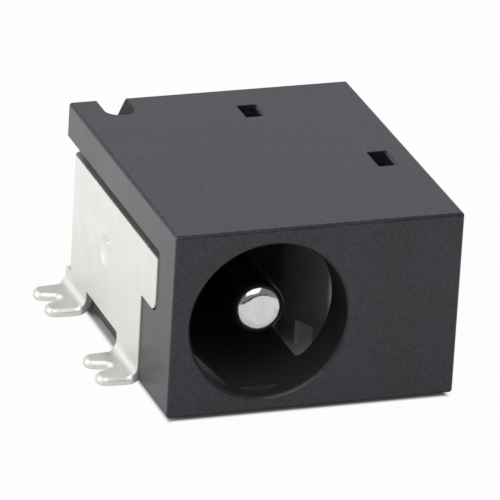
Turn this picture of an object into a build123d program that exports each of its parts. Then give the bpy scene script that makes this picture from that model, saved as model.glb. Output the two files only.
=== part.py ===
# Surface-mount DC power jack: a moulded housing, a riveted centre pin and three stamped terminals
import os

from build123d import *

# Driving dimensions in millimetres
# X runs right as seen from the mouth, Y to the back and Z up from the board

# Housing block
housing_width = 11.0
housing_depth = 12.9
housing_height = 7.15
board_standoff = 0.15  # underside of the housing above the soles of the feet
edge_radius = 0.12

# Plug bore
bore_diameter = 6.0
bore_offset = 1.78  # axis to the left of the housing's middle
bore_height = 3.67  # axis above the board
back_wall = 1.7  # behind the bore's floor
mouth_chamfer = 0.1
lead_depth = 0.75  # plain round lead-in behind the mouth, before the flats
seat_flat = 2.78  # axis to the two slanted flats that the spring presses a plug's sleeve against
seat_angle = 45.0  # degrees of those flats above and below the axis, on the left
floor_flat = 2.9  # axis to the flat along the bottom of the bore

# Contact chamber on the right of the bore, open below
front_wall = 1.8
window_offset = 1.8  # bore axis to the chamber's left face
chamber_roof = 1.15
chamber_corner = 0.3

# Tail of the housing, where the roof overhangs the riveted plate
roof_thickness = 1.32
tail_overhang = 0.9
tail_block_width = 5.05  # full-depth block on the right

# Funnel notch in the back edge of the roof
notch_offset = 3.85  # to the left of the middle
notch_width = 1.2
notch_depth = 1.6
notch_drop = 1.05  # from the roof's top face down
notch_taper = 24.0  # degrees from upright
notch_rounding = 0.54

# Slots in the roof that take the terminals' tabs
roof_slot_width = 0.62
spring_slot_offset = 0.95  # to the right of the middle
spring_slot_setback = 2.17  # slot centre to the back face
spring_slot_length = 1.15
shunt_slot_offset = 4.26
shunt_slot_setback = 5.42  # slot centre to the mouth face
shunt_slot_length = 1.38
slot_land = 0.3  # wall between the chamber and the spring's slot
slot_lip = 0.09  # bevel along a slot's two long edges
tab_sink = 0.9  # tops of the tabs below the roof

# Stamped sheet
sheet = 0.3  # pin terminal and shunt contact
leaf = 0.25  # sleeve spring
fit_gap = 0.05  # play of a stamping in its slot or recess
corner_bend = 0.15  # inside radius where the pin terminal turns the back corner
foot_fold = 0.38  # inside radius where a blade folds out into a foot
blade_bend = 0.2  # inside radius of the shunt contact's bends

# Forked solder feet
foot_width = 2.48
foot_length = 1.43  # tip of a foot beyond the housing's side
fork_mouth = 0.84  # gap between the prongs at their tips
fork_root = 0.42  # gap at the inner end of the slot
fork_depth = 0.78  # slot from the tips inwards
prong_taper = 0.1  # outer side of a prong drawn in at its tip
widest_rounding = 0.47  # largest rounding as a share of the width that it ends
foot_edge = 0.12  # coined bevel of the feet's upper edges
front_foot_setback = 4.66  # foot centre to the mouth face
rear_foot_setback = 2.0  # foot centre to the back face

# Side plate of the pin terminal
plate_proud = 0.05  # outer face beyond the housing's side
plate_setback = 1.83  # front edge to the mouth face
plate_roof_gap = 0.3  # top edge below the overhanging roof
plate_bottom = 1.0
tooth_bottom = 3.6
tooth_radius = 0.42
leg_relief = 0.15  # small corner radius where a leg leaves the plate
sill_bevel = 0.13  # lower edge of the plate's seat in the housing
dimple_setback = 7.7  # dimple centre to the mouth face
dimple_height = 3.5
dimple_diameter = 1.25
dimple_depth = 0.14
punch_diameter = 0.46  # cone of the small punch mark inside the dimple, at the plate's face
punch_depth = 0.22
punch_rise = 0.33  # punch mark above the dimple's centre

# Back web of the pin terminal, which carries the riveted pin
web_reach = 1.95  # right end beyond the pin's axis
web_bottom = 1.2
web_corner = 0.5

# Centre pin
pin_diameter = 2.0
pin_setback = 0.95  # nose to the mouth face
pin_nose = 0.5  # rounding between the nose's flat end and the pin's side
pin_root_diameter = 2.5
tenon_diameter = 1.5
rivet_diameter = 2.4
rivet_height = 0.45
rivet_rounding = 0.28
pin_gap = 0.02  # radial play of the pin in its holes

# Sleeve spring, a leaf standing on edge beside the bore
leaf_roof_gap = 0.38  # top edge below the chamber's roof
leaf_bottom = 0.55
leaf_notch_reach = 1.37  # apex to the centre of the notch in the lower edge, along the leaf
leaf_notch_width = 0.92
leaf_notch_top = 1.57
leaf_apex_gap = 2.23  # bore axis to the leaf's nearest face
leaf_apex_setback = 5.3  # apex to the mouth face
leaf_apex_radius = 1.2
leaf_root_radius = 1.5
leaf_nose_setback = 2.7  # front of the leaf's hairpin to the mouth face
leaf_hairpin = 0.5  # centre-line radius of the hairpin
hairpin_width = 1.15
tail_trim = 0.9  # taken off the tail's upper and lower edges
tail_end_setback = 4.85  # end of the hairpin's tail to the mouth face

# Switch: the spring's tail rests on the shunt contact's finger
switch_offset = 2.78  # contact plane to the right of the middle
finger_setback = 4.2  # tip of the finger to the mouth face
finger_height = 2.0
finger_web_setback = 6.75  # cross web to the mouth face

# Datums worked out from the driving dimensions
half_width = housing_width / 2
front_y = -housing_depth / 2
back_y = housing_depth / 2
base_z = board_standoff
top_z = board_standoff + housing_height
roof_z = top_z - roof_thickness
axis_x = -bore_offset
axis_z = bore_height
bore_axis = Axis((axis_x, 0, axis_z), (0, 1, 0))
web_back_y = back_y - tail_overhang
body_back_y = web_back_y - sheet
floor_y = body_back_y - back_wall
plate_x = -half_width - plate_proud
plate_top = roof_z - plate_roof_gap
recess_x = plate_x + sheet
tail_block_x = half_width - tail_block_width
plate_front_y = front_y + plate_setback
front_foot_y = front_y + front_foot_setback
rear_foot_y = back_y - rear_foot_setback
foot_tip = half_width + foot_length
spring_slot_y = back_y - spring_slot_setback
shunt_slot_y = front_y + shunt_slot_setback
chamber_front_y = front_y + front_wall
spring_slot_front_y = spring_slot_y - spring_slot_length / 2
spring_slot_back_y = spring_slot_y + spring_slot_length / 2
chamber_back_y = spring_slot_front_y - slot_land
chamber_left = axis_x + window_offset
chamber_right = shunt_slot_offset + sheet / 2
chamber_top = top_z - chamber_roof
tab_top = top_z - tab_sink
leaf_top = chamber_top - leaf_roof_gap
leaf_middle_z = (leaf_bottom + leaf_top) / 2
dimple_y = front_y + dimple_setback
dimple_sphere = (dimple_diameter**2 / 4 + dimple_depth**2) / (2 * dimple_depth)
dimple_centre = (plate_x + dimple_depth - dimple_sphere, dimple_y, dimple_height)
web_right = axis_x + web_reach


def block(x0, x1, y0, y1, z0, z1):
    """Box between two corners."""
    return Pos(x0, y0, z0) * Box(x1 - x0, y1 - y0, z1 - z0, align=(Align.MIN, Align.MIN, Align.MIN))


def flat(x0, x1, y0, y1):
    """Flat rectangle between two corners."""
    return Pos(x0, y0) * Rectangle(x1 - x0, y1 - y0, align=(Align.MIN, Align.MIN))


def outline(points, corners=()):
    """Closed flat outline; corners lists pairs of a corner's index and its rounding."""
    shape = make_face(Polyline(*points, close=True))
    for index, radius in corners:
        corner = shape.vertices().sort_by_distance(Vector(*points[index]))[0]
        shape = fillet(corner, radius)
    return shape


def strip(points, radii, thickness):
    """Section of a bent sheet that follows a centre line with rounded corners."""
    return trace(FilletPolyline(*points, radius=radii), line_width=thickness)


def from_side(sketch, x, depth):
    """Stand a sketch drawn as Y and Z on the plane X = x, and pull it to the right."""
    return extrude(Plane.YZ.offset(x) * sketch, depth)


def from_front(sketch, y, depth):
    """Stand a sketch drawn as X and Z on the plane Y = y, and pull it to the back."""
    return extrude(Plane.XZ.offset(-y) * sketch, -depth)


def from_above(sketch, z, height):
    """Lay a sketch drawn as X and Y on the plane Z = z, and pull it upwards."""
    return extrude(Plane.XY.offset(z) * sketch, height)


def dimple_ball(growth):
    """Ball whose cap is the side plate's dimple, grown by a sheet's thickness for its inner side."""
    return Pos(*dimple_centre) * Rot(0, 0, 180) * Sphere(dimple_sphere + growth)


def fork_plan(inner_x, leg_width, centre_y):
    """Outline of a foot seen from above: a leg, a pad and two tapered prongs with round ends."""
    root_x = foot_tip - fork_depth
    pad_x = min(half_width, root_x - fork_root)
    tip_outer = foot_width / 2 - prong_taper
    tip_inner = fork_mouth / 2
    root_half = fork_root / 2
    tip_rounding = (tip_outer - tip_inner) * widest_rounding
    root_rounding = fork_root * widest_rounding
    fork = outline(
        [
            (pad_x, -foot_width / 2),
            (foot_tip, -tip_outer),
            (foot_tip, -tip_inner),
            (root_x, -root_half),
            (root_x, root_half),
            (foot_tip, tip_inner),
            (foot_tip, tip_outer),
            (pad_x, foot_width / 2),
        ],
        [(index, tip_rounding) for index in (1, 2, 5, 6)] + [(index, root_rounding) for index in (3, 4)],
    )
    leg = flat(inner_x, root_x - fork_root, -leg_width / 2, leg_width / 2)
    return Pos(0, centre_y) * (fork + leg)


def right_foot(face_x, thickness, centre_y, leg_width):
    """Foot that folds out to the right from a blade whose outer face is at face_x."""
    middle = face_x - thickness / 2
    fold = foot_fold + thickness / 2
    section = strip(
        [(middle, thickness + foot_fold + fit_gap), (middle, thickness / 2), (foot_tip, thickness / 2)],
        fold,
        thickness,
    )
    bent = from_front(section, centre_y - foot_width / 2, foot_width)
    plan = fork_plan(face_x - thickness, leg_width, centre_y)
    foot = bent & from_above(plan, 0, thickness + foot_fold + fit_gap)
    upper = foot.faces().filter_by(Plane.XY).group_by(Axis.Z)[1]
    free = upper.edges().filter_by(lambda edge: edge.center().X > face_x + foot_fold + fit_gap)
    return chamfer(free, foot_edge)


def left_foot(face_x, thickness, centre_y, leg_width):
    """Mirror image of a right-hand foot; face_x is the blade's outer face on the left."""
    return mirror(right_foot(-face_x, thickness, centre_y, leg_width), Plane.YZ)


def bore_cavity():
    """Turned bore with a chamfered round lead-in, less what stands behind its three flats."""
    radius = bore_diameter / 2
    lead_y = front_y + lead_depth
    section = outline(
        [
            (0, front_y),
            (radius + mouth_chamfer, front_y),
            (radius, front_y + mouth_chamfer),
            (radius, floor_y),
            (0, floor_y),
        ]
    )
    cavity = revolve(Pos(axis_x, 0, axis_z) * section, bore_axis)
    leftward = 180
    downward = 270
    flats = [(leftward - seat_angle, seat_flat), (leftward + seat_angle, seat_flat), (downward, floor_flat)]
    for angle, distance in flats:
        segment = Rot(0, 0, angle) * flat(distance, bore_diameter, -radius, radius)
        cavity -= from_front(Pos(axis_x, axis_z) * segment, lead_y, floor_y - lead_y)
    return cavity


def chamber_cavity():
    """Room for the spring and the shunt contact, open to the bore and downwards."""
    plan = flat(chamber_left, chamber_right, chamber_front_y, chamber_back_y)
    plan = fillet(plan.vertices(), chamber_corner)
    return from_above(plan, 0, chamber_top)


def side_recess():
    """Seat of the side plate in the left face, open to the back and below."""
    leg_front = front_foot_y - foot_width / 2 - fit_gap
    plate_front = plate_front_y - fit_gap
    shape = outline(
        [
            (plate_front, roof_z),
            (plate_front, tooth_bottom - fit_gap),
            (leg_front, tooth_bottom - fit_gap),
            (leg_front, 0),
            (back_y, 0),
            (back_y, roof_z),
        ],
        [(1, tooth_radius)],
    )
    return from_side(shape, -half_width - plate_proud, sheet)


def tail_recess():
    """Space under the overhanging roof for the back web and the rivet head."""
    return block(-half_width, tail_block_x, body_back_y, back_y, 0, roof_z)


def roof_notch():
    """Funnel notch in the roof's back edge."""
    x0 = -notch_offset - notch_width / 2
    x1 = -notch_offset + notch_width / 2
    shape = flat(x0, x1, back_y - notch_depth, back_y + notch_depth)
    rounding = min(notch_rounding, notch_width * widest_rounding)
    shape = fillet(shape.vertices().group_by(Axis.Y)[0], rounding)
    return extrude(Plane.XY.offset(top_z) * shape, -notch_drop, taper=notch_taper)


def roof_slots():
    """Two slots through the roof over the terminals' tabs, with bevelled long edges."""
    half = roof_slot_width / 2
    lip_z = top_z - slot_lip
    section = outline(
        [
            (-half, chamber_top),
            (half, chamber_top),
            (half, lip_z),
            (half + slot_lip, top_z),
            (-half - slot_lip, top_z),
            (-half, lip_z),
        ]
    )
    spring_cut = from_front(Pos(spring_slot_offset, 0) * section, spring_slot_front_y, spring_slot_length)
    shunt_front = shunt_slot_y - shunt_slot_length / 2
    shunt_cut = from_front(Pos(shunt_slot_offset, 0) * section, shunt_front, shunt_slot_length)
    return spring_cut + shunt_cut


def spring_root_slot():
    """Upright slot behind the chamber that grips the spring's root."""
    x0 = spring_slot_offset - leaf / 2 - fit_gap
    x1 = spring_slot_offset + leaf / 2 + fit_gap
    return block(x0, x1, chamber_back_y, spring_slot_back_y + fit_gap, 0, chamber_top)


def foot_channel(face_x, thickness, centre_y, leg_width):
    """Channel in the underside through which a foot runs out to the right, clear of its fold."""
    inner_x = face_x - thickness - fit_gap
    roof = thickness + fit_gap
    section = outline(
        [
            (inner_x, 0),
            (half_width, 0),
            (half_width, roof),
            (face_x + foot_fold, roof),
            (face_x, roof + foot_fold),
            (inner_x, roof + foot_fold),
        ]
    )
    width = leg_width + 2 * fit_gap
    return from_front(section, centre_y - width / 2, width)


def make_housing():
    """Moulded block with the plug bore, the contact chamber and the seats of the terminals."""
    body = block(-half_width, half_width, front_y, back_y, base_z, top_z)
    body = fillet(body.edges(), edge_radius)
    body -= bore_cavity()
    body -= chamber_cavity()
    body -= side_recess()
    body -= tail_recess()
    body -= roof_notch()
    body -= roof_slots()
    body -= spring_root_slot()
    body -= foot_channel(spring_slot_offset + leaf / 2, leaf, spring_slot_y, spring_slot_length)
    body -= foot_channel(chamber_right, sheet, front_foot_y, foot_width)
    corner = body.edges().filter_by(Axis.Z).sort_by_distance((recess_x, body_back_y, axis_z))[0]
    body = fillet(corner, corner_bend + fit_gap)
    sill = body.edges().filter_by(Axis.Y).sort_by_distance((recess_x, rear_foot_y, base_z))[0]
    body = chamfer(sill, sill_bevel)
    body -= dimple_ball(sheet + fit_gap)
    root_hole = Pos(axis_x, axis_z) * Circle(pin_root_diameter / 2 + pin_gap)
    return body - from_front(root_hole, floor_y, body_back_y - floor_y)


def make_centre_pin():
    """Turned pin with a rounded nose, a thicker root in the back wall and a riveted tenon."""
    radius = pin_diameter / 2
    nose_y = front_y + pin_setback
    rivet_y = web_back_y + rivet_height
    section = outline(
        [
            (0, nose_y),
            (radius, nose_y),
            (radius, floor_y),
            (pin_root_diameter / 2, floor_y),
            (pin_root_diameter / 2, body_back_y),
            (tenon_diameter / 2, body_back_y),
            (tenon_diameter / 2, web_back_y),
            (rivet_diameter / 2, web_back_y),
            (rivet_diameter / 2, rivet_y),
            (0, rivet_y),
        ],
        [(1, pin_nose), (8, rivet_rounding)],
    )
    return revolve(Pos(axis_x, 0, axis_z) * section, bore_axis)


def make_pin_terminal():
    """One folded sheet: side plate with two forked feet, and a back web that carries the pin."""
    bend_y = body_back_y - corner_bend
    bend_x = recess_x + corner_bend
    fold_z = sheet + foot_fold
    half_foot = foot_width / 2
    leg_front = front_foot_y - half_foot
    rear_end = rear_foot_y + half_foot
    side = outline(
        [
            (plate_front_y, plate_top),
            (plate_front_y, tooth_bottom),
            (leg_front, tooth_bottom),
            (leg_front, fold_z),
            (front_foot_y + half_foot, fold_z),
            (front_foot_y + half_foot, plate_bottom),
            (rear_foot_y - half_foot, plate_bottom),
            (rear_foot_y - half_foot, fold_z),
            (rear_end, fold_z),
            (rear_end, plate_bottom),
            (bend_y, plate_bottom),
            (bend_y, plate_top),
        ],
        [(1, tooth_radius), (2, leg_relief), (5, leg_relief), (6, leg_relief), (9, leg_relief)],
    )
    terminal = from_side(side, plate_x, sheet)
    corner = strip(
        [
            (recess_x - sheet / 2, bend_y - sheet),
            (recess_x - sheet / 2, web_back_y - sheet / 2),
            (bend_x + sheet, web_back_y - sheet / 2),
        ],
        corner_bend + sheet / 2,
        sheet,
    )
    terminal += from_above(corner, web_bottom, plate_top - web_bottom)
    web = outline(
        [(bend_x, plate_top), (web_right, plate_top), (web_right, web_bottom), (bend_x, web_bottom)],
        [(1, web_corner), (2, web_corner)],
    )
    web -= Pos(axis_x, axis_z) * Circle(tenon_diameter / 2 + pin_gap)
    terminal += from_front(web, body_back_y, sheet)
    for foot_y in (front_foot_y, rear_foot_y):
        terminal += left_foot(plate_x, sheet, foot_y, foot_width)
    inner_side = block(recess_x - sheet / 2, 0, plate_front_y, body_back_y, plate_bottom, plate_top)
    bump = dimple_ball(sheet) & inner_side
    punch = Cone(punch_diameter / 2, 0, punch_depth, align=(Align.CENTER, Align.CENTER, Align.MIN))
    punch_mark = Pos(plate_x, dimple_y, dimple_height + punch_rise) * Rot(0, 90, 0) * punch
    return terminal + bump - dimple_ball(0) - punch_mark


def make_sleeve_spring():
    """Notched leaf on edge that bears on the plug's sleeve, with a hairpin tail, a root tab and one foot."""
    root_x = spring_slot_offset
    apex_x = axis_x + leaf_apex_gap + leaf / 2
    tail_x = switch_offset + leaf / 2
    nose_y = front_y + leaf_nose_setback + leaf / 2
    line = [
        (root_x, spring_slot_back_y),
        (root_x, chamber_back_y - leaf),
        (apex_x, front_y + leaf_apex_setback),
        (tail_x - hairpin_width, nose_y),
        (tail_x, nose_y),
        (tail_x, front_y + tail_end_setback),
    ]
    radii = [leaf_root_radius, leaf_apex_radius, leaf_hairpin, leaf_hairpin]
    spring = from_above(strip(line, radii, leaf), leaf_bottom, leaf_top - leaf_bottom)
    tail_left = tail_x - hairpin_width / 2
    for z0 in (leaf_bottom, leaf_top - tail_trim):
        spring -= block(tail_left, tail_x + leaf, nose_y - leaf, body_back_y, z0, z0 + tail_trim)
    flank = Line(line[2], line[3])
    notch_place = flank @ 0 + flank % 0 * leaf_notch_reach
    notch = flat(-leaf_notch_width / 2, leaf_notch_width / 2, -leaf, leaf)
    spring -= Plane(notch_place, x_dir=flank % 0) * from_above(notch, 0, leaf_notch_top)
    fold_z = leaf + foot_fold
    blade_left = root_x - leaf / 2
    blade_right = root_x + leaf / 2
    blade_front = spring_slot_front_y
    blade_back = spring_slot_back_y
    spring += block(blade_left, blade_right, blade_front, blade_back, fold_z, chamber_top)
    spring += block(
        blade_left, blade_right, blade_front + fit_gap, blade_back - fit_gap, chamber_top, tab_top
    )
    return spring + right_foot(blade_right, leaf, spring_slot_y, spring_slot_length)


def make_shunt_contact():
    """Blade on the right wall with a finger that the spring's tail rests on, a tab and one foot."""
    blade_x = shunt_slot_offset
    finger_x = switch_offset - sheet / 2
    web_y = front_y + finger_web_setback
    blade_front = front_foot_y - foot_width / 2
    line = [
        (blade_x, blade_front),
        (blade_x, web_y),
        (finger_x, web_y),
        (finger_x, front_y + finger_setback),
    ]
    bend = blade_bend + sheet / 2
    contact = from_above(strip(line, bend, sheet), leaf_middle_z - finger_height / 2, finger_height)
    blade_left = blade_x - sheet / 2
    blade_right = blade_x + sheet / 2
    blade_back = web_y - bend
    contact += block(blade_left, blade_right, blade_front, blade_back, sheet + foot_fold, chamber_top)
    contact += block(
        blade_left,
        blade_right,
        shunt_slot_y - shunt_slot_length / 2 + fit_gap,
        shunt_slot_y + shunt_slot_length / 2 - fit_gap,
        chamber_top,
        tab_top,
    )
    return contact + right_foot(blade_right, sheet, front_foot_y, foot_width)


pieces = {
    "housing": make_housing(),
    "centre_pin": make_centre_pin(),
    "pin_terminal": make_pin_terminal(),
    "sleeve_spring": make_sleeve_spring(),
    "shunt_contact": make_shunt_contact(),
}

os.makedirs("parts", exist_ok=True)
for name, piece in pieces.items():
    export_step(piece, f"parts/{name}.step")
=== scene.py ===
# %% [markdown]
# # A surface-mount DC power jack
# This lesson dresses a small power socket for a circuit board. The solids come from CAD at their true
# size, so nothing here moves or scales them. What is left to do is what the eye reads first: a grained
# black moulding, tinned sheet metal, a bright turned pin, and the white studio that they sit in.
# One could model the jack again in Blender, but a second model would drift away from the first.

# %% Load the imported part
import math

import bpy
from mathutils import Matrix, Vector


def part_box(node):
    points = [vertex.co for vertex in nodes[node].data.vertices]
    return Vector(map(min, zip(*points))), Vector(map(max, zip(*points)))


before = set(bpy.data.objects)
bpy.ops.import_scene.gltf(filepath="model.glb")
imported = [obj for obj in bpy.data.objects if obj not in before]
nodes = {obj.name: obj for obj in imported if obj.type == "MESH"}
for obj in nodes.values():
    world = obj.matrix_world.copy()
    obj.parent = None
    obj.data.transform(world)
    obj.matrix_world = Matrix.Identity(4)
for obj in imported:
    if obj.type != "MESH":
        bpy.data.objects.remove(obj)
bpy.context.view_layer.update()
MM = 0.001


def in_mm(lengths):
    """Lengths in millimetres, rounded for printing."""
    return [round(length / MM, 2) for length in lengths]


for name, node in sorted(nodes.items()):
    print(name, "vertices", len(node.data.vertices))

# %% [markdown]
# ## The camera
# The photograph was taken with a long lens: opposite edges of the box stay nearly parallel. The place
# and the turn of the camera were found by matching the corners of the housing, and they are written as
# three angles and a point. A track-to constraint would be shorter to write, but it would lose the slight
# roll of the picture.

# %% Set the camera
camera_azimuth = math.radians(-20.108)
camera_elevation = math.radians(23.473)
camera_roll = math.radians(3.397)
camera_place = Vector((-80.996, -220.316, 105.476)) * MM
focal_pixels = 6934.4
picture_pixels = 500
sensor_width = 36.0
clip_near = 0.01
clip_far = 5.0


def camera_turn(azimuth, elevation, roll):
    """Rotation whose columns are the camera's right, up and backward directions."""
    flat = math.cos(elevation)
    back = Vector((math.sin(azimuth) * flat, -math.cos(azimuth) * flat, math.sin(elevation)))
    level = Vector((math.cos(azimuth), math.sin(azimuth), 0))
    upright = back.cross(level)
    right = math.cos(roll) * level + math.sin(roll) * upright
    up = math.cos(roll) * upright - math.sin(roll) * level
    return Matrix((right, up, back)).transposed()


def add_to_scene(name, data):
    """New object of the given data, in the scene."""
    thing = bpy.data.objects.new(name, data)
    bpy.context.scene.collection.objects.link(thing)
    return thing


turn = camera_turn(camera_azimuth, camera_elevation, camera_roll)
camera = add_to_scene("camera", bpy.data.cameras.new("camera"))
camera.matrix_world = Matrix.LocRotScale(camera_place, turn, None)
camera.data.sensor_width = sensor_width
camera.data.lens = sensor_width * focal_pixels / picture_pixels
camera.data.clip_start = clip_near
camera.data.clip_end = clip_far
bpy.context.scene.camera = camera
print("lens in mm", round(camera.data.lens, 1))

# %% [markdown]
# ## The white studio
# A catalogue picture is taken in a white tent on white paper, and shadows nearly vanish. The world is
# white to the camera, and a dim grey tent for everything else, so that the lamps can still model the
# form. One could also light a bare white room, but then bright metal would mirror white on all sides
# and lose its shape, and the black moulding would need far more light than the tin can take.

# %% Build the world
ambient_strength = 0.33
seen_strength = 1.0
tent_white = (1, 1, 1, 1)


def combine(tree, operation, *operands):
    """Output of a math node, whose operands are other outputs or plain numbers."""
    node = tree.nodes.new("ShaderNodeMath")
    node.operation = operation
    for socket, value in zip(node.inputs, operands):
        if isinstance(value, (int, float)):
            socket.default_value = value
        else:
            tree.links.new(value, socket)
    return node.outputs[0]


def spread(tree, factor, values, reach=(0, 1), curve="LINEAR"):
    """Number that goes from one value to the other while the factor goes through its reach."""
    node = tree.nodes.new("ShaderNodeMapRange")
    node.interpolation_type = curve
    for socket, value in zip(("To Min", "To Max", "From Min", "From Max"), (*values, *reach)):
        node.inputs[socket].default_value = value
    tree.links.new(factor, node.inputs["Value"])
    return node.outputs["Result"]


def white_tent():
    """World that shows white and lights the scene a good deal less."""
    world = bpy.data.worlds.new("white_tent")
    world.use_nodes = True
    tree = world.node_tree
    path = tree.nodes.new("ShaderNodeLightPath").outputs
    seen = combine(tree, "MAXIMUM", path["Is Camera Ray"], path["Is Transmission Ray"])
    sky = tree.nodes["Background"]
    sky.inputs["Color"].default_value = tent_white
    tree.links.new(spread(tree, seen, (ambient_strength, seen_strength)), sky.inputs["Strength"])
    return world


bpy.context.scene.view_settings.view_transform = "Standard"
bpy.context.scene.world = white_tent()
print("ambient light", ambient_strength)

# %% [markdown]
# ## Where the jack stands
# The real jack shades the paper right below it, and its contact chamber is open there. The paper paints
# part of that shade into its glow, so it has to know where the jack stands. A second sheet of another
# colour could lie there, but it would have to be cut anew whenever the housing changed. Here the material
# measures its distance from the housing's own box: it gets a number that is 1 on the outline, less inside
# and more outside.

# %% Measure places inside a material


def new_finish(name):
    """Material and its node tree."""
    finish = bpy.data.materials.new(name)
    finish.use_nodes = True
    return finish, finish.node_tree


def object_place(tree):
    """Coordinates of the object that wears the finish, in metres."""
    return tree.nodes.new("ShaderNodeTexCoord").outputs["Object"]


def stretched(tree, place, factors=(1, 1, 1), middle=(0, 0, 0)):
    """Coordinates measured from a middle point and scaled by a factor for each axis."""
    mapping = tree.nodes.new("ShaderNodeMapping")
    mapping.inputs["Scale"].default_value = factors
    mapping.inputs["Location"].default_value = [-at * by for at, by in zip(middle, factors)]
    tree.links.new(place, mapping.inputs["Vector"])
    return mapping.outputs["Vector"]


def split_axes(tree, place):
    """The X, Y and Z of a place as three outputs."""
    axes = tree.nodes.new("ShaderNodeSeparateXYZ")
    tree.links.new(place, axes.inputs[0])
    return axes.outputs


def box_distance(tree, place, low, high, names):
    """Number that is 1 on the sides of a box, less inside and more outside, for the axes named."""
    half = (high - low) / 2
    axes = split_axes(tree, stretched(tree, place, [1 / side for side in half], (low + high) / 2))
    distances = [combine(tree, "ABSOLUTE", axes[name]) for name in names]
    farthest = distances[0]
    for distance in distances[1:]:
        farthest = combine(tree, "MAXIMUM", farthest, distance)
    return farthest


housing_low, housing_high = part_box("housing")
print("housing from", in_mm(housing_low), "to", in_mm(housing_high))

# %% [markdown]
# ## The white paper
# Most of what the camera sees of the paper is plain white, and the rest is a real lit surface, so a soft
# contact shadow stays. Below the housing the eye gets the lit paper and a faint painted glow, because the
# chamber would otherwise glow from inside. Mirrors see only glow: white around the jack, a painted shadow
# of dim grey below it that draws the spring in the dark socket, and painted shade that fades out away
# from the jack. A plain white floor under strong lamps would be simpler, but those lamps would bleach the
# tin.

# %% Mix the white paper
paper_grey = (0.5, 0.5, 0.5, 1)
# Each edge is where a glow starts and ends, and 1 is the outline of the housing.
seen_edge = (0.955, 1.0)
# Under the housing the eye gets a faint painted glow; outside it, plain white.
seen_white_and_painted_glow = (0.03, 0.97)
# Mirrors see a painted shadow of dim grey below the jack, and white around it.
painted_shadow_edge = (0.985, 1.04)
mirror_white_and_painted_shadow = (0.08, 0.94)
# Painted shade for mirrors, which fades out away from the jack.
painted_fade_edge = (1.04, 2.2)
painted_fade_glow = (0.0, 0.26)


def paper_with_painted_shade():
    """Lit paper that glows white, with a painted shadow for mirrors and a faint painted glow for the eye
    below the jack.
    """
    paper, tree = new_finish("paper_with_painted_shade")
    path = tree.nodes.new("ShaderNodeLightPath").outputs
    eye = path["Is Camera Ray"]
    mirror = combine(tree, "MAXIMUM", path["Is Glossy Ray"], path["Is Transmission Ray"])
    distance = box_distance(tree, object_place(tree), housing_low, housing_high, "XY")
    # Faint painted glow under the housing, for the eye.
    seen = combine(tree, "MULTIPLY", spread(tree, distance, seen_white_and_painted_glow, seen_edge, "SMOOTHSTEP"), eye)
    # Painted shadow below the jack and painted shade near it, for mirrors only.
    near = spread(tree, distance, mirror_white_and_painted_shadow, painted_shadow_edge, "SMOOTHSTEP")
    far = spread(tree, distance, painted_fade_glow, painted_fade_edge, "SMOOTHSTEP")
    mirrored_with_painted_shade = combine(tree, "MULTIPLY", combine(tree, "ADD", near, far), mirror)
    lit = tree.nodes.new("ShaderNodeBsdfDiffuse")
    lit.inputs["Color"].default_value = paper_grey
    glow = tree.nodes.new("ShaderNodeEmission")
    tree.links.new(combine(tree, "MAXIMUM", mirrored_with_painted_shade, eye), glow.inputs["Strength"])
    share = combine(tree, "MAXIMUM", seen, mirror)
    mix = tree.nodes.new("ShaderNodeMixShader")
    for socket, part in zip(mix.inputs, (share, lit.outputs[0], glow.outputs[0])):
        tree.links.new(part, socket)
    tree.links.new(mix.outputs[0], tree.nodes["Material Output"].inputs["Surface"])
    return paper


paper = paper_with_painted_shade()
print(paper.name, "nodes", len(paper.node_tree.nodes))

# %% [markdown]
# ## The floor
# In a studio the paper is one sheet, far wider than the picture. A plane from the Add menu would do. Here
# four corners make the same face, because the sweep and the dark strip below can then share the function.
# The sheet lies a hair below the feet: two faces in one plane would flicker.

# %% Lay the floor
floor_half = 0.45
floor_drop = 0.02 * MM
square = [(-1, -1), (1, -1), (1, 1), (-1, 1)]


def sheet_of(name, corners, material):
    """Flat studio sheet with one finish."""
    mesh = bpy.data.meshes.new(name)
    mesh.from_pydata(corners, [], [tuple(range(len(corners)))])
    mesh.materials.append(material)
    sheet = add_to_scene(name, mesh)
    return sheet


floor_corners = [(x * floor_half, y * floor_half, -floor_drop) for x, y in square]
floor = sheet_of("studio_floor", floor_corners, paper)
print(floor.name, "half size in m", floor_half)

# %% [markdown]
# ## The sweep behind
# The paper sweeps up behind the jack. The camera never sees that part of it, but the roof does: at a
# flat angle even black plastic mirrors, so the roof takes its grey from the white sweep and the left
# side takes its own from the floor. A lamp could light the roof too, but it would also light the slots
# and the notch from inside, and those are dark in the picture.

# %% Raise the sweep
sweep_distance = 0.42
sweep_height = 0.40
sweep_glow = 0.82
sweep_tint = (0.95, 0.98, 1.03, 1)


def lit_sweep():
    """Paper that glows evenly, a little blue."""
    finish, tree = new_finish("lit_sweep")
    glow = tree.nodes.new("ShaderNodeEmission")
    glow.inputs["Color"].default_value = sweep_tint
    glow.inputs["Strength"].default_value = sweep_glow
    tree.links.new(glow.outputs[0], tree.nodes["Material Output"].inputs["Surface"])
    return finish


sweep_corners = [(x * floor_half, sweep_distance, (z + 1) / 2 * sweep_height) for x, z in square]
sweep = sheet_of("white_sweep", sweep_corners, lit_sweep())
print(sweep.name, "height in m", sweep_height)

# %% [markdown]
# ## A dark strip in front
# Where white paper meets a pale tent, bright metal loses its shape. Photographers stand a narrow black
# card below the lens, and round metal gets the dark line that makes it read as round. Here it draws the
# line across the pin's nose. The line could be painted on the pin, but it would then stay in place when
# the view changes. The strip is hidden from the camera, and only reflections and stray light meet it.

# %% Stand the dark strip
strip_distance = 0.36
strip_left = -0.30
strip_right = 0.20
# Height of the lower and the upper edge at either end of the strip.
strip_left_edges = (0.0, 0.05)
strip_right_edges = (0.02, 0.075)
strip_black = (0.012, 0.012, 0.012, 1)
strip_dullness = 0.9


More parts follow.
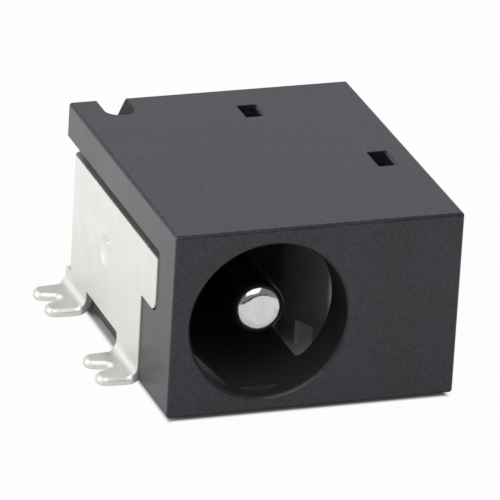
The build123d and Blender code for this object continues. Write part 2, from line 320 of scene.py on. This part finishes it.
def black_card():
    """Matte black card."""
    finish, tree = new_finish("black_card")
    shader = tree.nodes["Principled BSDF"]
    shader.inputs["Base Color"].default_value = strip_black
    shader.inputs["Roughness"].default_value = strip_dullness
    return finish


strip_corners = [
    (strip_left, -strip_distance, strip_left_edges[0]),
    (strip_right, -strip_distance, strip_right_edges[0]),
    (strip_right, -strip_distance, strip_right_edges[1]),
    (strip_left, -strip_distance, strip_left_edges[1]),
]
strip = sheet_of("dark_strip", strip_corners, black_card())
strip.visible_camera = False
strip.visible_shadow = False
print(strip.name, "distance in m", strip_distance)

# %% [markdown]
# ## The lamps
# Paper, sweep and tent already give most of the light, so two weak soft boxes are enough. The one on the
# left stands a little behind and keeps the left side lighter than the front. The other hangs high in
# front: it reaches into the socket and leaves one bright spot on the pin's nose. They could be sun
# lamps, but a sun gives hard shadows, and a soft box doesn't.

# %% Hang the lamps
lamp_target = Vector((0, 0, 3.5)) * MM
# Name, place and sides in metres, power in watts.
lamp_plan = [
    ("left_box", (-0.40, 0.12, 0.18), (0.40, 0.30), 1.3),
    ("high_box", (-0.06, -0.21, 0.37), (0.40, 0.48), 1.1),
]


def soft_box(name, place, sides, power):
    """Area lamp of two sides that faces the jack."""
    lamp = bpy.data.lights.new(name, "AREA")
    lamp.shape = "RECTANGLE"
    lamp.size, lamp.size_y = sides
    lamp.energy = power
    box = add_to_scene(name, lamp)
    box.location = place
    box.rotation_euler = (lamp_target - Vector(place)).to_track_quat("-Z", "Y").to_euler()
    return box


for name, place, sides, power in lamp_plan:
    box = soft_box(name, place, sides, power)
    print(box.name, "power in W", round(box.data.energy, 2))

# %% [markdown]
# ## Grain
# No real surface is quite even. Every finish below is built on noise: a broad one for how the piece was
# made, and on plastic and tin a fine one too, for their grain. Photographs of surfaces could be wrapped
# round the pieces instead, but they need an unwrapped mesh and blur when the camera comes close. Noise in
# the object's own metres keeps its true size on any face.

# %% Define the grain
noise_range = (0.3, 0.7)


def grain(tree, place, size, detail=2.0, rough=0.5):
    """Noise whose lumps have about the given size in metres."""
    noise = tree.nodes.new("ShaderNodeTexNoise")
    noise.inputs["Scale"].default_value = 1 / size
    noise.inputs["Detail"].default_value = detail
    noise.inputs["Roughness"].default_value = rough
    tree.links.new(place, noise.inputs["Vector"])
    return noise.outputs["Fac"]


print("most of a grain lies between", *noise_range)

# %% [markdown]
# ## From grain to finish
# A real finish shows in three ways: in its colour, in how dull it is, and in its relief. A grain becomes
# a colour through a ramp, a dullness through a spread of numbers, and a relief through a bump. Real edges
# are never quite sharp either, and a thin line of light runs along them. A bevel modifier would cut them
# into the mesh, but the CAD meshes stay as they are, so the bevel node rounds only the light on them.

# %% Define the finish helpers


def ramp(tree, factor, colours, reach=noise_range):
    """Colour that goes from the first to the second while the factor goes through its reach."""
    node = tree.nodes.new("ShaderNodeValToRGB")
    for element, position, colour in zip(node.color_ramp.elements, reach, colours):
        element.position = position
        element.color = (*colour, 1)
    tree.links.new(factor, node.inputs["Fac"])
    return node.outputs["Color"]


def softened(tree, radius):
    """Normal of a surface whose edges are rounded off by a small radius."""
    node = tree.nodes.new("ShaderNodeBevel")
    node.inputs["Radius"].default_value = radius
    return node.outputs["Normal"]


def relief(tree, height, depth, under=None):
    """Bump of the given depth in metres, on top of another normal where there is one."""
    bump = tree.nodes.new("ShaderNodeBump")
    bump.inputs["Distance"].default_value = depth
    tree.links.new(height, bump.inputs["Height"])
    if under is not None:
        tree.links.new(under, bump.inputs["Normal"])
    return bump.outputs["Normal"]


def wire(tree, colour, dullness, normal=None, metal=0.0):
    """The shader, with a finish's colour, roughness and normal connected to it."""
    shader = tree.nodes["Principled BSDF"]
    shader.inputs["Metallic"].default_value = metal
    tree.links.new(colour, shader.inputs["Base Color"])
    tree.links.new(dullness, shader.inputs["Roughness"])
    if normal is not None:
        tree.links.new(normal, shader.inputs["Normal"])
    return shader


print("a finish is wired by", [step.__name__ for step in (ramp, spread, softened, relief, wire)])

# %% [markdown]
# ## Where the moulding's skin changes
# The housing was moulded in a tool with spark-eroded faces, so its outside has a fine grain. The socket
# is formed by a polished core, so its wall has none. The notch at the back is where the plastic was fed
# in, and its wall is torn. Each could be a material of its own, given to some of the faces, but the CAD
# mesh stays as it is. So one material asks where a point lies: near the pin's axis, or inside the notch.

# %% Find the socket and the notch
pin_low, pin_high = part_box("centre_pin")
pin_axis = (pin_low + pin_high) / 2
socket_radius = 3.0 * MM
socket_depth = 10.0 * MM
# The margins take in the socket's wall and floor, and leave out the faces around the notch.
wall_margin = 0.005 * MM
end_margin = 0.01 * MM
face_margin = 0.03 * MM
skin_step = 0.015 * MM
notch_sides = (-4.5 * MM, -3.2 * MM)
notch_depth = 1.65 * MM
notch_height = 1.1 * MM
notch_low = Vector((notch_sides[0], housing_high.y - notch_depth, housing_high.z - notch_height))
notch_high = Vector((notch_sides[1], housing_high.y - face_margin, housing_high.z - face_margin))


def past(tree, value, edge):
    """Number that steps from 0 to 1 just past an edge."""
    return spread(tree, value, (0, 1), (edge, edge + skin_step))


def outside_socket(tree, place):
    """Number that is 0 on the socket's wall and floor, and 1 on the rest of the housing."""
    across = tree.nodes.new("ShaderNodeVectorMath")
    across.operation = "LENGTH"
    tree.links.new(stretched(tree, place, (1, 0, 1), pin_axis), across.inputs[0])
    beside = past(tree, across.outputs["Value"], socket_radius + wall_margin)
    behind = past(tree, split_axes(tree, place)["Y"], housing_low.y + socket_depth + end_margin)
    return combine(tree, "MAXIMUM", beside, behind)


def inside_notch(tree, place):
    """Number that is 1 within the notch and 0 elsewhere."""
    return combine(tree, "LESS_THAN", box_distance(tree, place, notch_low, notch_high, "XYZ"), 1)


print("pin's axis in mm", in_mm(pin_axis))
print("notch from", in_mm(notch_low), "to", in_mm(notch_high))

# %% [markdown]
# ## The blacks of the moulding
# The housing is a glass-filled black plastic. Such a face is dull head-on and goes grey at a glancing
# angle, which is why the roof looks so much lighter than the front in the picture. So the colour stays
# nearly black, and the grey comes from the sheen. Painting the roof grey would be easier, but it would
# look wrong from any other side. Pits speckle the outside and the melt left faint clouds in it. The
# socket's wall is plain, and its black is lifted a little as painted light in the dark bore. The torn
# wall of the notch is a little brown.

# %% Choose the blacks
moulded_blacks = ((0.006, 0.0066, 0.0095), (0.026, 0.029, 0.037))
moulded_reach = (0.32, 0.68)
flow_contrast = 0.08
# The socket's black, lighter than the outside's middle, is painted light in the dark bore.
socket_black_painted_light = (0.028, 0.028, 0.029)
torn_blacks = ((0.006, 0.0055, 0.005), (0.030, 0.027, 0.024))


def blended(tree, share, first, second):
    """Colour that goes from the first to the second as the share goes from 0 to 1."""
    node = tree.nodes.new("ShaderNodeMix")
    node.data_type = "RGBA"
    tree.links.new(share, node.inputs["Factor"])
    sockets = {socket.identifier: socket for socket in (*node.inputs, *node.outputs)}
    for end, value in (("A_Color", first), ("B_Color", second)):
        if isinstance(value, tuple):
            sockets[end].default_value = (*value, 1)
        else:
            tree.links.new(value, sockets[end])
    return sockets["Result_Color"]


def moulded_black(tree, clouds, pits, skin, torn):
    """Moulding colour: speckled outside, plain with painted light in the socket, brownish in the notch.
    """
    flow = spread(tree, clouds, (-flow_contrast, flow_contrast), noise_range)
    tone = combine(tree, "ADD", pits, combine(tree, "MULTIPLY", flow, skin))
    speckled = ramp(tree, tone, moulded_blacks, moulded_reach)
    moulded = blended(tree, skin, socket_black_painted_light, speckled)
    return blended(tree, torn, moulded, ramp(tree, pits, torn_blacks))


print("blacks of the skin", *moulded_blacks)

# %% [markdown]
# ## The sheen of the moulding
# Sheen is what tells this plastic from rubber or paint. The eroded skin shines a little unevenly, the
# polished socket evenly, and the torn notch hardly at all. One roughness for the whole housing would be
# simpler, but then the notch would gleam like the roof. The pits are a shallow bump: as mesh they would
# cost millions of faces. The mould leaves a small round on each edge, and the bevel node gives it here.

# %% Mix the moulded plastic
cloud_size = 2.2 * MM
pit_size = 0.11 * MM
pit_depth = 0.012 * MM
skin_dullness = (0.28, 0.35)
socket_dullness = 0.30
torn_dullness = 0.75
moulded_edge = 0.06 * MM
plastic_index = 1.43


def moulded_dullness(tree, clouds, skin, torn):
    """Roughness of the moulding: uneven outside, even in the socket, high in the notch."""
    outside = combine(tree, "MULTIPLY", spread(tree, clouds, skin_dullness, noise_range), skin)
    notch = combine(tree, "MULTIPLY", torn, torn_dullness)
    socket = spread(tree, skin, (socket_dullness, 0))
    return combine(tree, "MAXIMUM", combine(tree, "MAXIMUM", outside, notch), socket)


def moulded_plastic():
    """Black moulding with an eroded grain and faint flow clouds."""
    finish, tree = new_finish("moulded_black_plastic")
    place = object_place(tree)
    skin = outside_socket(tree, place)
    torn = inside_notch(tree, place)
    clouds = grain(tree, place, cloud_size, detail=3.0)
    pits = combine(tree, "MULTIPLY", grain(tree, place, pit_size, detail=3.0, rough=0.6), skin)
    black = moulded_black(tree, clouds, pits, skin, torn)
    dullness = moulded_dullness(tree, clouds, skin, torn)
    normal = relief(tree, pits, pit_depth, softened(tree, moulded_edge))
    shader = wire(tree, black, dullness, normal)
    shader.inputs["IOR"].default_value = plastic_index
    return finish


plastic = moulded_plastic()
print(plastic.name, "nodes", len(plastic.node_tree.nodes))

# %% [markdown]
# ## The tinned sheet
# The terminals are stamped from thin brass strip and plated with matte tin, so that solder takes to them.
# Matte tin is a metal with a milky, fine-crystalline skin: it mirrors the white tent as a soft warm
# white. A white paint would match from the front, but its edges would never darken as the real ones do.
# Three bumps lie on each other: the slight waves of a pressed sheet, the lines that the rolls left along
# the strip, and the crystals. The edges are softened, because stamping rolls them over a little.

# %% Mix the matte tin
tin_whites = ((0.69, 0.69, 0.655), (0.73, 0.73, 0.695))
tin_dullness = (0.40, 0.52)
wave_size = 1.1 * MM
wave_depth = 0.012 * MM
rolling_size = 0.25 * MM
rolling_stretch = (6, 0.35, 6)
rolling_depth = 0.002 * MM
crystal_size = 0.05 * MM
crystal_depth = 0.0015 * MM
stamped_edge = 0.09 * MM


def matte_tin():
    """Tin plating with fine crystals over the faint rolling lines of the strip."""
    finish, tree = new_finish("matte_tin")
    place = object_place(tree)
    waves = grain(tree, place, wave_size)
    rolling = grain(tree, stretched(tree, place, rolling_stretch), rolling_size)
    crystals = grain(tree, place, crystal_size, detail=3.0, rough=0.6)
    normal = relief(tree, waves, wave_depth, softened(tree, stamped_edge))
    normal = relief(tree, rolling, rolling_depth, normal)
    normal = relief(tree, crystals, crystal_depth, normal)
    dullness = spread(tree, crystals, tin_dullness, noise_range)
    wire(tree, ramp(tree, waves, tin_whites), dullness, normal, metal=1.0)
    return finish


tin = matte_tin()
print(tin.name, "nodes", len(tin.node_tree.nodes))

# %% [markdown]
# ## The turned pin
# The pin is turned on a lathe and plated with nickel. The tool leaves rings around the axis, too fine to
# count but enough to draw the light out. A wave texture in ring mode follows the axis of the pin. Rings
# cut into the mesh would cost thousands of faces for the same look.

# %% Mix the turned nickel
nickel_greys = ((0.47, 0.47, 0.46), (0.53, 0.53, 0.52))
nickel_dullness = (0.10, 0.18)
haze_size = 0.4 * MM
ring_band = 0.3 * MM
ring_wobble = 0.6
ring_depth = 0.0006 * MM


def turning_rings(tree, place):
    """Fine rings about the pin's axis, several to each band."""
    rings = tree.nodes.new("ShaderNodeTexWave")
    rings.wave_type = "RINGS"
    rings.rings_direction = "Y"
    rings.inputs["Scale"].default_value = 1 / ring_band
    rings.inputs["Distortion"].default_value = ring_wobble
    tree.links.new(stretched(tree, place, middle=pin_axis), rings.inputs["Vector"])
    return rings.outputs["Fac"]


def turned_nickel():
    """Bright nickel with a thin haze and turning rings."""
    finish, tree = new_finish("turned_nickel")
    place = object_place(tree)
    haze = grain(tree, place, haze_size)
    normal = relief(tree, turning_rings(tree, place), ring_depth)
    dullness = spread(tree, haze, nickel_dullness, noise_range)
    wire(tree, ramp(tree, haze, nickel_greys), dullness, normal, metal=1.0)
    return finish


nickel = turned_nickel()
print(nickel.name, "nodes", len(nickel.node_tree.nodes))

# %% [markdown]
# ## The spring leaf
# The sleeve spring is rolled bronze under a thin plating, which hides its warm colour. In the dark socket
# it shows as a few long soft gleams. Its streaks run along the strip, which here means along Y. An
# anisotropic shader is the usual way to brushed or rolled metal, but so little light reaches the leaf
# that a noise drawn out along Y does as well.

# %% Mix the rolled bronze
leaf_greys = ((0.62, 0.62, 0.62), (0.72, 0.715, 0.70))
leaf_dullness = (0.47, 0.55)
streak_size = 0.3 * MM
streak_stretch = (1, 0.12, 3)


def rolled_bronze():
    """Plated spring strip with rolling streaks along its length."""
    finish, tree = new_finish("rolled_bronze")
    place = stretched(tree, object_place(tree), streak_stretch)
    streaks = grain(tree, place, streak_size, detail=3.0)
    dullness = spread(tree, streaks, leaf_dullness, noise_range)
    wire(tree, ramp(tree, streaks, leaf_greys), dullness, metal=1.0)
    return finish


bronze = rolled_bronze()
print(bronze.name, "nodes", len(bronze.node_tree.nodes))

# %% [markdown]
# ## Dress the pieces
# Each CAD piece takes its finish in place. The solids bring their own normals, so that flat faces stay
# flat and round ones smooth. Shading them anew would risk smeared light along the crisp edges, so the
# finish is all that changes.

# %% Give each piece its finish
finishes = {
    "housing": plastic,
    "centre_pin": nickel,
    "pin_terminal": tin,
    "sleeve_spring": bronze,
    "shunt_contact": tin,
}
for name, finish in finishes.items():
    mesh = nodes[name].data
    mesh.materials.clear()
    mesh.materials.append(finish)
    print(name, "takes", finish.name)
